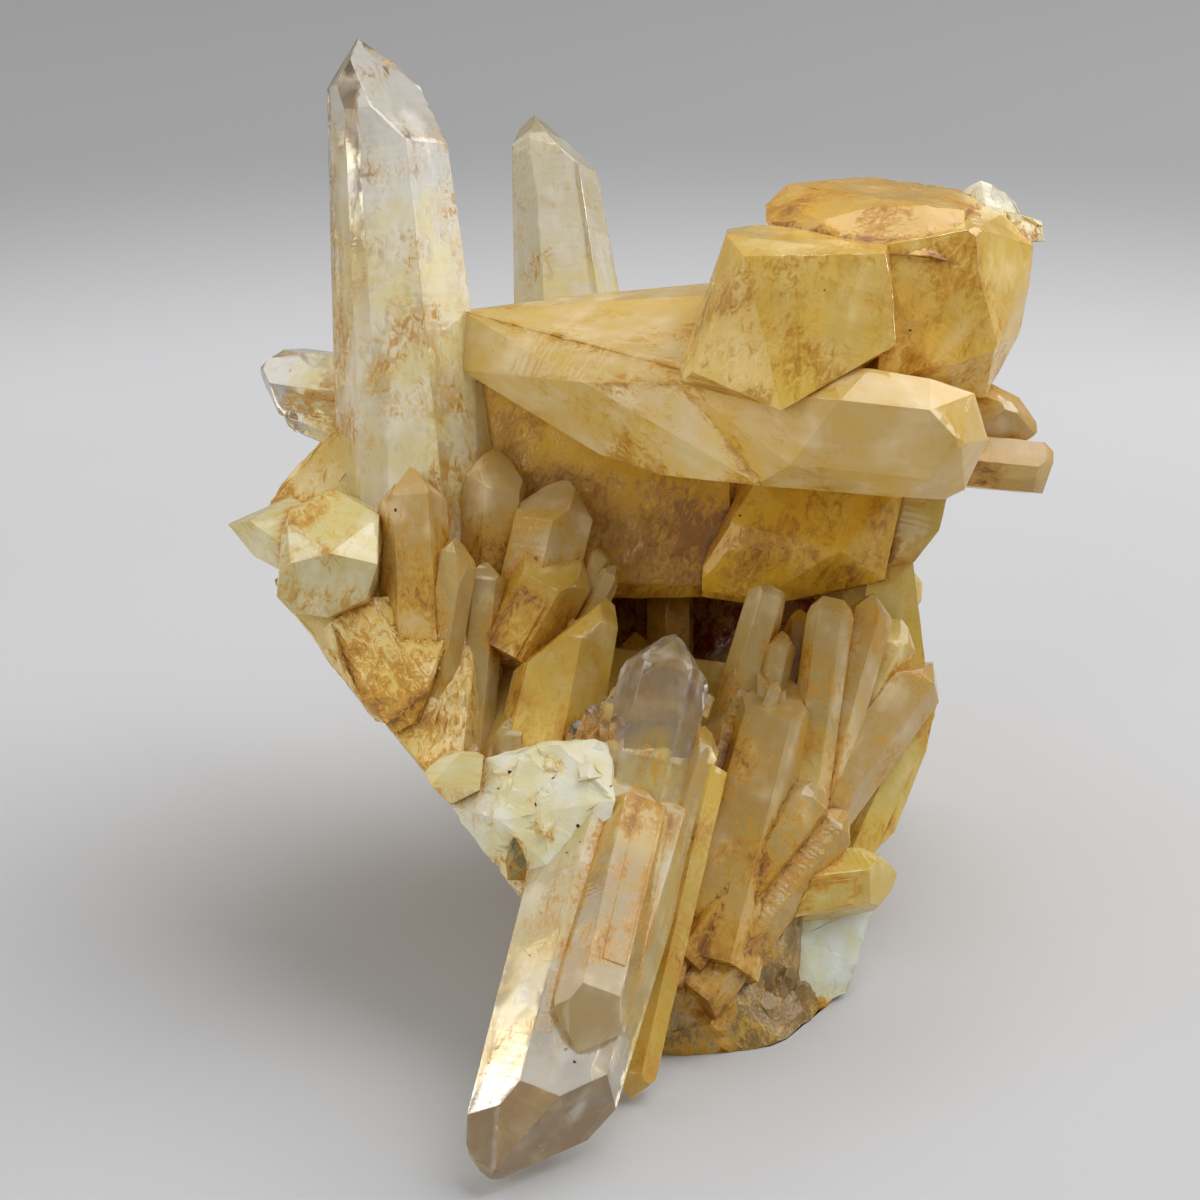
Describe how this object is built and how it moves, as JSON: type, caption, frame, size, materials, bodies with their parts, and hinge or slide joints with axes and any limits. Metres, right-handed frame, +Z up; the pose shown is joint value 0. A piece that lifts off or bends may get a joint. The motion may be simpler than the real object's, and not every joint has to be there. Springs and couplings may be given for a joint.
{
  "type": "mango quartz cluster",
  "caption": "Cluster of honey-yellow quartz crystals on a broken plate, with long clear points, golden blocks and a dark pocket.",
  "frame": {"origin": "a point on the flat underside that the cluster rests on, below its middle", "axes": "+Z up, -Y toward the front of the cluster where the two long clear points reach the table, +X to the right as seen from the front"},
  "size_m": [0.0828, 0.1111, 0.0829],
  "materials": {
    "honey_quartz": "glossy crystal faces, cloudy honey-yellow inside, clear at the points, with rusty stains"
  },
  "bodies": {
    "root": {"quartz_cluster": "honey_quartz"}
  },
  "joints": []
}
